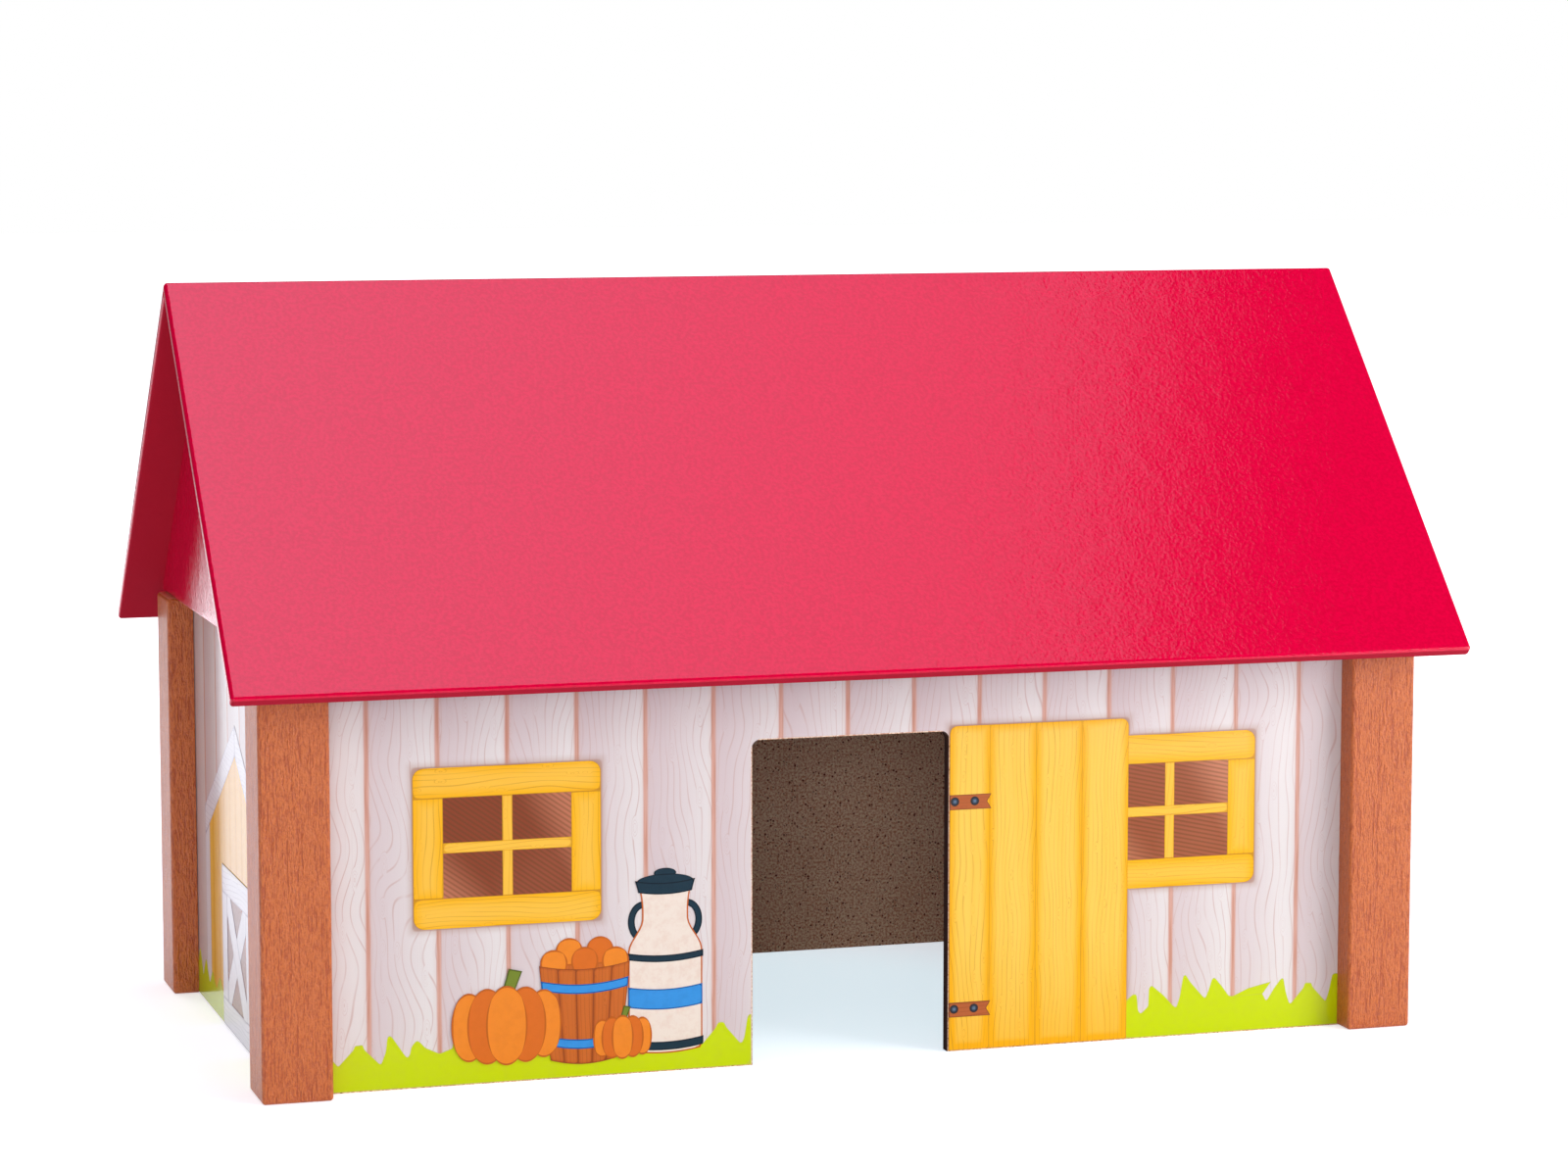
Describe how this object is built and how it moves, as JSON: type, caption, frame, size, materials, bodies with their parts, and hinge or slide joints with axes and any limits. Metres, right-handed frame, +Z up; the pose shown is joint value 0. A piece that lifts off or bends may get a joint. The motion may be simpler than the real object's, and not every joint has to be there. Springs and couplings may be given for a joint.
{
  "type": "toy barn",
  "caption": "Low wooden toy barn with printed walls held in grooved corner posts, an open doorway and a gable roof that lifts off.",
  "frame": {"origin": "on the floor, midway between the four corner posts", "axes": "+X along the ridge, to the right seen from the doorway side, +Z up; the doorway wall faces -Y"},
  "size_m": [0.402, 0.2276, 0.2448],
  "materials": {
    "wall_board": "raw hardboard, matt, with dark specks",
    "wall_print": "satin printed paper, off-white planks",
    "post_paint": "satin terracotta paint over wood grain",
    "roof_paint": "gloss crimson paint"
  },
  "bodies": {
    "base": {"front_wall": "wall_board", "back_wall": "wall_board", "left_wall": "wall_board", "right_wall": "wall_board", "front_wall_print": "wall_print", "back_wall_print": "wall_print", "left_wall_print": "wall_print", "right_wall_print": "wall_print", "post_front_left": "post_paint", "post_front_right": "post_paint", "post_back_left": "post_paint", "post_back_right": "post_paint"},
    "roof": {"roof_front_panel": "roof_paint", "roof_back_panel": "roof_paint", "roof_gable_left": "roof_paint", "roof_gable_right": "roof_paint"}
  },
  "joints": [
    {"name": "roof_lift", "type": "slide", "parent": "base", "child": "roof", "axis": [0, 0, 1], "range_m": [0, 0.069]}
  ]
}
